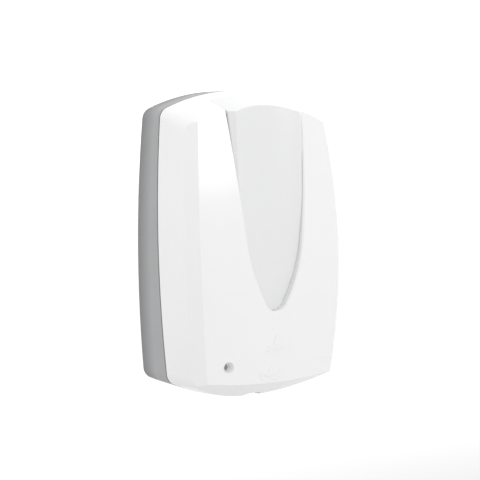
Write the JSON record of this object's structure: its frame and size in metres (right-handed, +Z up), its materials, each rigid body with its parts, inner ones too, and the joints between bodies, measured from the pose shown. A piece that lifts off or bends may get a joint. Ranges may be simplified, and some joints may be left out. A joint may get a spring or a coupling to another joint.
{
  "type": "wall mounted soap dispenser",
  "caption": "Wall mounted automatic soap dispenser with a bowed white cover, a V shaped front panel, a key lock and a grey rear housing",
  "frame": {"origin": "centre of the four wall screw holes, on the back face that lies on the wall", "axes": "+Z up, +Y into the wall, -Y out of the front, +X to the right seen from the front"},
  "size_m": [0.169, 0.0954, 0.27],
  "materials": {
    "housing_grey": "fine moulded texture",
    "cover_white": "smooth satin gloss",
    "panel_white": "smooth satin gloss, slightly greyer than the cover",
    "chassis_grey": "moulded",
    "bottle_plastic": "milky translucent polyethylene",
    "cap_plastic": "ribbed",
    "pump_plastic": "moulded",
    "nozzle_plastic": "moulded, translucent",
    "gear_plastic": "acetal",
    "steel": "plain",
    "zinc": "zinc plated",
    "brass": "nickel plated contact",
    "motor_steel": "drawn can",
    "black_plastic": "moulded",
    "dark_lens": "infrared window",
    "clear_lens": "clear epoxy",
    "board_green": "solder mask",
    "chip_black": "moulded",
    "cell_wrap": "plain printed sleeve",
    "capacitor": "sleeved can"
  },
  "bodies": {
    "base": {"rear_housing": "housing_grey", "hinge_pin": "steel", "lock_strike": "chassis_grey", "strike_screws": "steel", "chassis_plate": "chassis_grey", "chassis_screws": "steel", "battery_box": "chassis_grey", "battery_lid": "chassis_grey", "batteries": "cell_wrap", "battery_contacts": "brass", "refill_bottle": "bottle_plastic", "bottle_cap": "cap_plastic", "pump_body": "pump_plastic", "pump_spring": "steel", "gearbox_base": "chassis_grey", "gear_axles": "steel", "gearbox_plate": "chassis_grey", "gearbox_screws": "steel", "motor_can": "motor_steel", "motor_screws": "steel", "motor_end_cap": "black_plastic", "motor_terminals": "brass", "guide_rods": "steel", "circuit_board": "board_green", "board_screws": "steel", "board_chips": "chip_black", "board_capacitors": "capacitor", "board_connector": "cap_plastic", "power_switch_body": "black_plastic", "test_button_body": "black_plastic", "sensor_housing": "black_plastic", "sensor_window": "dark_lens", "ir_emitter": "clear_lens", "ir_receiver": "dark_lens", "status_led": "clear_lens"},
    "cover": {"front_cover": "cover_white", "v_panel": "panel_white", "lock_nut": "zinc"},
    "lock": {"lock_barrel": "cap_plastic", "lock_cam": "zinc", "cam_screw": "steel"},
    "pump": {"pump_yoke": "gear_plastic", "pump_piston": "pump_plastic", "nozzle": "nozzle_plastic"},
    "output": {"output_gear": "gear_plastic"},
    "compound": {"compound_gear": "gear_plastic"},
    "motor": {"motor_pinion": "steel"},
    "knob": {"power_switch_knob": "cap_plastic"},
    "button": {"test_button": "cap_plastic"}
  },
  "joints": [
    {"name": "cover_hinge", "type": "hinge", "parent": "base", "child": "cover", "pos_m": [0, -0.02769, 0.1314], "axis": [-1, 0, 0], "range_deg": [0, 88]},
    {"name": "lock_turn", "type": "hinge", "parent": "cover", "child": "lock", "pos_m": [-0.0455, -0.078, -0.1005], "axis": [0, 1, 0], "range_deg": [0, 90]},
    {"name": "pump_stroke", "type": "slide", "parent": "base", "child": "pump", "axis": [0, 0, 1], "range_m": [0, 0.01], "stiffness_N_per_m": 300, "springref_m": -0.008, "deforming": ["pump_spring"]},
    {"name": "output_spin", "type": "hinge", "parent": "base", "child": "output", "pos_m": [0.034, -0.048, -0.078], "axis": [0, 1, 0], "range_deg": [0, 95.6]},
    {"name": "compound_spin", "type": "hinge", "parent": "base", "child": "compound", "pos_m": [0.04874, -0.04, -0.08832], "axis": [0, 1, 0], "range_deg": [-286.8, 0]},
    {"name": "motor_spin", "type": "hinge", "parent": "base", "child": "motor", "pos_m": [0.05662, -0.036, -0.07468], "axis": [0, 1, 0], "range_deg": [0, 917.2]},
    {"name": "switch_slide", "type": "slide", "parent": "base", "child": "knob", "axis": [0, 0, 1], "range_m": [0, 0.004]},
    {"name": "test_press", "type": "slide", "parent": "base", "child": "button", "axis": [0, 1, 0], "range_m": [0, 0.0008], "stiffness_N_per_m": 200, "springref_m": -0.0005}
  ],
  "couplings": [
    {"joint": "output_spin", "follows": "pump_stroke", "rad_per_m": 166.67},
    {"joint": "compound_spin", "follows": "pump_stroke", "rad_per_m": -500},
    {"joint": "motor_spin", "follows": "pump_stroke", "rad_per_m": 1600}
  ]
}
